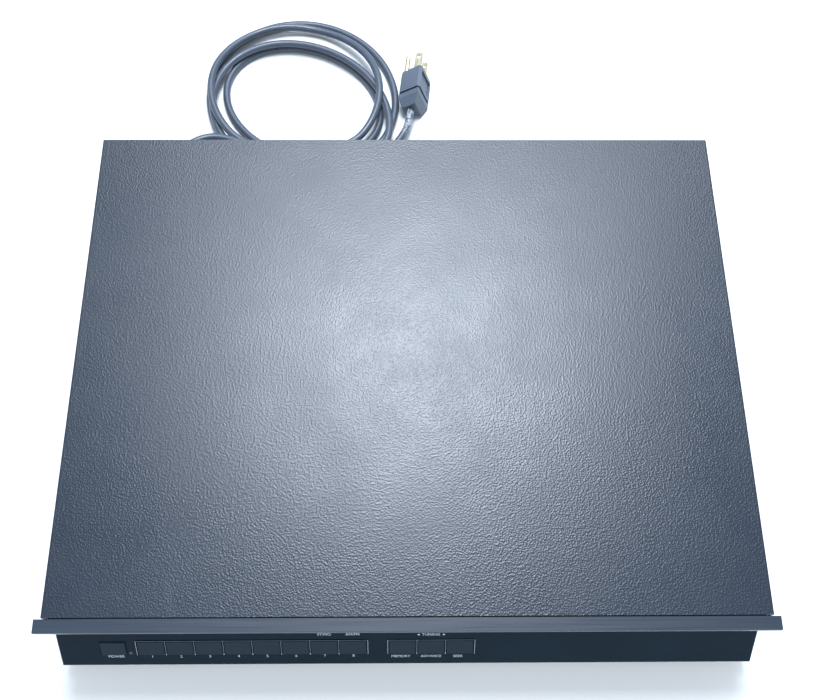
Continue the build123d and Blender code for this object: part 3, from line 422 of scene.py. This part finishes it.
def cord_vinyl():
    """Slate-grey vinyl, slightly waxy, with dull handling marks."""
    made = Finish("cord_vinyl_grey", (0.053, 0.070, 0.100), 0.36)
    made.mottled(45.0, 0.22, 4.0)
    made.tint(made.ranged(made.noise(160.0, 4.0), 0.62, 0.75, 0.0, 0.3), (0.12, 0.14, 0.17))
    print_marks = made.noise(330.0, 3.0, distortion=1.2)
    stretch = made.nearness(behind(193.5, 67.0, 8.0), 0.012, 0.015)
    marks = made.times(made.ranged(print_marks, 0.48, 0.56, 0.0, 0.75), stretch)
    made.tint(marks, (0.42, 0.46, 0.52))
    made.uneven(90.0, 0.09)
    made.bumped(made.noise(700.0, 3.0), 0.00006, 0.35)
    return made


def plug_vinyl():
    """The plug's paler moulded vinyl."""
    made = Finish("plug_vinyl_grey", (0.085, 0.110, 0.150), 0.48)
    made.mottled(70.0, 0.2, 4.0)
    made.tint(made.ranged(made.noise(210.0, 4.0), 0.64, 0.76, 0.0, 0.3), (0.17, 0.19, 0.21))
    made.uneven(110.0, 0.08)
    made.bumped(made.noise(850.0, 3.0), 0.00007, 0.4)
    return made


def blade_brass():
    """Pale brass, dulled where the blades rub in a socket."""
    made = Finish("blade_brass", (0.86, 0.78, 0.56), 0.30, metallic=1.0)
    made.mottled(160.0, -0.18)
    made.tint(made.ranged(made.noise(420.0, 3.0), 0.58, 0.72, 0.0, 0.4), (0.62, 0.56, 0.42))
    made.uneven(700.0, 0.08, stretch=(1, 0.1, 1))
    made.bumped(made.noise(1600.0, 2.0, stretch=(1, 0.06, 1)), 0.00002, 0.4)
    return made


def laminate():
    """Circuit-board laminate with its woven ground showing through the resist."""
    made = Finish("board_laminate", (0.30, 0.21, 0.08), 0.45)
    made.mottled(120.0, 0.2)
    weave = made.noise(900.0, 1.0, stretch=(1, 0.2, 1))
    made.tint(made.ranged(weave, 0.45, 0.6, 0.0, 0.25), (0.42, 0.32, 0.15))
    made.uneven(300.0, 0.05)
    made.bumped(weave, 0.00003, 0.3)
    return made


def smoked():
    """Polished smoked acrylic, nearly black until light stands behind it."""
    made = Finish("smoked_acrylic", (0.012, 0.013, 0.017), 0.06)
    made.mottled(30.0, 0.2)
    made.uneven(60.0, 0.03, 5.0)
    made.bumped(made.noise(120.0, 2.0), 0.00001, 0.2)
    return made


def lens():
    """The power light's dark red lens, unlit."""
    made = Finish("light_lens", (0.030, 0.014, 0.016), 0.16).mottled(500.0, 0.2)
    made.uneven(900.0, 0.05)
    made.bumped(made.noise(1500.0, 2.0), 0.00002, 0.3)
    return made


finishes = {
    "case_paint": cover_paint(),
    "rear_paint": painted("rear_black_paint", (0.028, 0.029, 0.033), 0.46, 420.0, 0.00008),
    "zinc_steel": plated("zinc_plated_steel", (0.60, 0.61, 0.58), 0.38),
    "visor_black": visor_black(),
    "panel_black": panel_black(),
    "frame_plastic": moulded("frame_black_plastic", (0.024, 0.027, 0.033), 0.50),
    "smoked_acrylic": smoked(),
    "display_glass": Finish("display_glass", (0.10, 0.14, 0.14), 0.08).mottled(80.0, 0.2),
    "board_laminate": laminate(),
    "black_plastic": moulded("switch_black_plastic", (0.028, 0.028, 0.030), 0.42),
    "light_lens": lens(),
    "key_plastic": key_satin(),
    "core_steel": painted("core_varnish", (0.15, 0.15, 0.16), 0.4, 300.0, 0.00006),
    "winding_tape": painted("winding_tape", (0.72, 0.56, 0.18), 0.3, 180.0, 0.0001),
    "capacitor_sleeve": moulded("capacitor_sleeve", (0.045, 0.06, 0.14), 0.25),
    "bare_aluminium": plated("mill_aluminium", (0.74, 0.75, 0.77), 0.34),
    "tinned_steel": plated("tinned_steel", (0.70, 0.70, 0.68), 0.26),
    "cable_grey": moulded("flat_cable_grey", (0.42, 0.42, 0.43), 0.5),
    "black_screw": plated("black_oxide_screw", (0.05, 0.05, 0.055), 0.4),
    "foot_plastic": moulded("foot_black_plastic", (0.026, 0.026, 0.028), 0.48),
    "foot_rubber": moulded("foot_rubber", (0.05, 0.05, 0.052), 0.8, 500.0, 0.0001),
    "nickel_plate": plated("nickel_plate", (0.76, 0.74, 0.68), 0.18),
    "terminal_plastic": moulded("terminal_plastic", (0.035, 0.035, 0.038), 0.28),
    "cord_vinyl": cord_vinyl(),
    "plug_vinyl": plug_vinyl(),
    "blade_brass": blade_brass(),
}


def dress(thing, slot):
    """Gives an object one finish in all its material slots."""
    mesh = thing.data
    if not mesh.materials:
        mesh.materials.append(finishes[slot].material)
    for index in range(len(mesh.materials)):
        mesh.materials[index] = finishes[slot].material


for part in frame["record"]["subparts"]:
    dress(nodes[part["node"]], part["material_slot"])
dress(cord, "cord_vinyl")


# ---- Floor and light ----
def backdrop():
    """A wide pale surface under everything."""
    mesh = bpy.data.meshes.new("floor")
    shape = bmesh.new()
    bmesh.ops.create_grid(shape, x_segments=8, y_segments=8, size=4.0)
    shape.to_mesh(mesh)
    shape.free()
    floor = bpy.data.objects.new("floor", mesh)
    floor.location.z = -0.0002
    bpy.context.scene.collection.objects.link(floor)
    paper = Finish("pale_floor", (0.80, 0.82, 0.84), 0.7).mottled(2.0, 0.02)
    mesh.materials.append(paper.material)


def softbox(name, place, target, width, height, watts, colour):
    """A rectangular area light that faces a target."""
    light = bpy.data.lights.new(name, "AREA")
    light.shape = "RECTANGLE"
    light.size = width
    light.size_y = height
    light.energy = watts
    light.color = colour
    made = bpy.data.objects.new(name, light)
    made.location = place
    facing = Vector(target) - Vector(place)
    made.rotation_euler = facing.to_track_quat("-Z", "Y").to_euler()
    bpy.context.scene.collection.objects.link(made)


backdrop()
softbox("overhead", (0.02, 0.62, 1.60), (0.0, 0.0, 0.08), 0.60, 0.55, 36.0, (0.83, 0.90, 1.0))
softbox("back_fill", (0.10, 1.35, 1.60), (0.0, 0.1, 0.08), 1.6, 0.6, 20.0, (0.82, 0.89, 1.0))
softbox("front_fill", (0.0, -1.3, 0.60), (0.0, -0.25, 0.0), 1.6, 0.5, 18.0, (0.92, 0.96, 1.0))

world = bpy.data.worlds.new("studio")
world.use_nodes = True
world.node_tree.nodes["Background"].inputs["Color"].default_value = (0.84, 0.93, 1.0, 1.0)
world.node_tree.nodes["Background"].inputs["Strength"].default_value = 0.62
bpy.context.scene.world = world
bpy.context.scene.view_settings.view_transform = "Standard"


# ---- Printed legends, and painted highlights on the window frames ----
PANEL_REACH = 20.5 * MM      # the panel's bottom edge in front of the cover
panel_origin = Vector((0.0, cover_front - PANEL_REACH, base_height))
SLOPE = math.radians(35.3)
up_slope = Vector((0.0, math.sin(SLOPE), math.cos(SLOPE)))
out_slope = Vector((0.0, -math.cos(SLOPE), math.sin(SLOPE)))


def joined(name, shapes, body):
    """One mesh object from several (mesh, matrix) shapes."""
    whole = bmesh.new()
    for mesh, place in shapes:
        mesh.transform(place)
        whole.from_mesh(mesh)
    mesh = bpy.data.meshes.new(name)
    whole.to_mesh(mesh)
    whole.free()
    made = bpy.data.objects.new(name, mesh)
    bpy.context.scene.collection.objects.link(made)
    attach(made, body)
    return made


def letters(text, height):
    """Flat letters centred on the origin, height in metres for a capital."""
    curve = bpy.data.curves.new("letters", "FONT")
    curve.body = text
    curve.size = height / 0.7
    curve.align_x = "CENTER"
    curve.align_y = "CENTER"
    curve.resolution_u = 3
    made = bpy.data.objects.new("letters", curve)
    bpy.context.scene.collection.objects.link(made)
    bpy.context.view_layer.update()
    evaluated = made.evaluated_get(bpy.context.evaluated_depsgraph_get())
    mesh = bpy.data.meshes.new_from_object(evaluated)
    bpy.data.objects.remove(made)
    return mesh


def on_slope(x_mm, up_mm, out_mm=0.03):
    """Places a flat shape on the sloping panel's face."""
    turn = Matrix(((1, 0, 0), up_slope, out_slope)).transposed().to_4x4()
    along = Vector((x_mm * MM, 0, 0)) + up_slope * up_mm * MM
    return Matrix.Translation(panel_origin + along + out_slope * out_mm * MM) @ turn


# Middle of the station keys, the keys' pitch, and the middle of the memory, middle and
# seek keys, in millimetres.
STATION_X, STATION_PITCH, TUNER_X = -96.6, 17.9, 14.5
CAPITAL = 2.05 * MM
# Each legend: its words, its middle along X and up the slope, and its height.
legends = [("POWER", -181.6, 9.4, CAPITAL)]
for number in range(8):
    legends.append((str(number + 1), STATION_X + (number - 3.5) * STATION_PITCH, 9.1, CAPITAL))
legends += [
    ("MEMORY", -4.4, 8.4, CAPITAL),
    ("ADVANCE", 14.5, 8.4, CAPITAL * 0.95),
    ("SEEK", 31.4, 8.3, CAPITAL),
    ("ST/MO", -51.7, 28.0, CAPITAL),
    ("AM/FM", -34.2, 28.0, CAPITAL),
    ("TUNING", 14.2, 27.6, CAPITAL),
]
print_shapes = [(letters(text, tall), on_slope(x, up)) for text, x, up, tall in legends]


def arrow(side):
    """A small solid triangle that points left or right."""
    mesh = bpy.data.meshes.new("arrow")
    reach = 0.8 * MM
    base = [(-side * reach, reach, 0), (-side * reach, -reach, 0)]
    mesh.from_pydata([(side * reach, 0, 0), *base], [], [(0, 1, 2)])
    return mesh


print_shapes += [(arrow(1), on_slope(22.4, 27.6)), (arrow(-1), on_slope(6.4, 27.6))]


def strip(x_mm, up_mm):
    """A thin flat strip, from its (low, high) pairs along X and up the slope."""
    mesh = bpy.data.meshes.new("strip")
    corners = [(x, up, 0.0) for x, up in ((0, 0), (1, 0), (1, 1), (0, 1))]
    places = [(x_mm[x] * MM, up_mm[up] * MM, z) for x, up, z in corners]
    mesh.from_pydata(places, [], [(0, 1, 2, 3)])
    return mesh


# The lower row's window up the slope, the height of its raised line, the width of the pale strips
# that paint highlights along the frames' edges, and the small painted highlights at the feet of the
# dividers, in millimetres.
WINDOW_LOW, WINDOW_HIGH, RAISED = 10.9, 22.9, 0.35
LINE, FOOT = 0.30, 0.9
# Pale strips along the raised window frames' edges and the gaps between keys are painted highlights
# where those edges catch the light: bright at the windows' ends and the dividers' feet, faint along
# the tops and between keys.
end_lines = []
faint_lines = []
for middle, count in ((STATION_X, 8), (TUNER_X, 3)):
    left = middle - count * STATION_PITCH / 2
    right = middle + count * STATION_PITCH / 2
    for x in (left - LINE, right):
        end_lines.append(strip((x, x + LINE), (WINDOW_LOW, WINDOW_HIGH + LINE)))
    faint_lines.append(strip((left, right), (WINDOW_HIGH, WINDOW_HIGH + LINE * 0.7)))
    for number in range(1, count):
        x = left + number * STATION_PITCH
        faint_lines.append(strip((x - LINE / 2, x + LINE / 2), (WINDOW_LOW + FOOT, WINDOW_HIGH)))
        end_lines.append(strip((x - FOOT * 0.35, x + FOOT * 0.35), (WINDOW_LOW, WINDOW_LOW + FOOT)))
on_frames = on_slope(0.0, 0.0, RAISED + 0.02)
# Colours for the painted highlights, a brighter one and a fainter one.
bright_highlight_paint = Finish("bright_highlight_paint", (0.30, 0.34, 0.38), 0.45).mottled(400.0, -0.4)
faint_highlight_paint = Finish("faint_line_highlight_paint", (0.07, 0.09, 0.11), 0.4).mottled(300.0, 0.5)
for name, lines, ink in (
    ("window_end_highlights", end_lines, bright_highlight_paint),
    ("window_faint_highlights", faint_lines, faint_highlight_paint),
):
    drawn = joined(name, [(mesh, on_frames) for mesh in lines], "case")
    drawn.data.materials.append(ink.material)

legend_ink = Finish("legend_ink", (0.44, 0.48, 0.53), 0.5).mottled(900.0, -0.3)
panel_print = joined("panel_print", print_shapes, "case")
panel_print.data.materials.append(legend_ink.material)

# ---- Back panel details ----
rear_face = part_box("rear_panel")[1].y + 0.05 * MM
REAR_CAPITAL = 2.4 * MM


def on_rear(x, z, out=0.0):
    """Places a flat shape on the rear panel, to be read from behind."""
    turn = Matrix(((-1, 0, 0), (0, 0, 1), (0, 1, 0))).transposed().to_4x4()
    return Matrix.Translation(Vector((x, rear_face + out, z))) @ turn


def middle_of(node):
    """The middle of a node's box."""
    low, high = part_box(node)
    return (low + high) / 2


jacks = middle_of("output_jacks")
JACK_SPACING = 16.0 * MM
JACK_BORE = 1.7 * MM
terminals = middle_of("antenna_terminals")
socket = middle_of("antenna_socket")
TERMINAL_PITCH = 13.0 * MM
# Each legend: its words, and its middle along X and Z.
rear_legends = [
    ("OUTPUT", jacks.x, jacks.z + 13.0 * MM),
    ("L", jacks.x - JACK_SPACING / 2, jacks.z - 12.5 * MM),
    ("R", jacks.x + JACK_SPACING / 2, jacks.z - 12.5 * MM),
    ("ANTENNA", (terminals.x + socket.x) / 2, terminals.z + 15.5 * MM),
    ("FM", socket.x, socket.z - 11.0 * MM),
    ("FM", terminals.x + TERMINAL_PITCH, terminals.z - 13.0 * MM),
    ("GND", terminals.x - TERMINAL_PITCH / 2, terminals.z - 13.0 * MM),
    ("AM", terminals.x - 1.5 * TERMINAL_PITCH, terminals.z - 13.0 * MM),
]
rear_shapes = [(letters(text, REAR_CAPITAL), on_rear(x, z)) for text, x, z in rear_legends]
rear_print = joined("rear_print", rear_shapes, "case")
rear_ink = Finish("rear_legend_ink", (0.66, 0.68, 0.70), 0.5).mottled(700.0, -0.25)
rear_print.data.materials.append(rear_ink.material)


def insulator(name, x, colour):
    """The coloured ring between a jack's shell and its bore, with rounded edges."""
    inner, outer, proud = JACK_BORE, 3.1 * MM, 0.4 * MM
    corner = proud * 0.4
    profile = [(inner, 0.0), (inner, proud - corner), (inner + corner, proud)]
    profile += [(outer - corner, proud), (outer, proud - corner), (outer, 0.0)]
    sides = 48
    rings = []
    shape = bmesh.new()
    for number in range(sides):
        angle = 2 * math.pi * number / sides
        rings.append([
            shape.verts.new((radius * math.cos(angle), radius * math.sin(angle), rise))
            for radius, rise in profile
        ])
    for number in range(sides):
        here, there = rings[number], rings[(number + 1) % sides]
        for index in range(len(profile)):
            following = (index + 1) % len(profile)
            shape.faces.new((here[index], there[index], there[following], here[following]))
    bmesh.ops.recalc_face_normals(shape, faces=shape.faces)
    mesh = bpy.data.meshes.new(name)
    shape.to_mesh(mesh)
    shape.free()
    jack_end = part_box("output_jacks")[1].y - rear_face
    ring = joined(name, [(mesh, on_rear(x, jacks.z, jack_end))], "case")
    ring.data.materials.append(moulded(name + "_plastic", colour, 0.4).material)


insulator("jack_ring_left", jacks.x - JACK_SPACING / 2, (0.72, 0.72, 0.70))
insulator("jack_ring_right", jacks.x + JACK_SPACING / 2, (0.45, 0.02, 0.02))
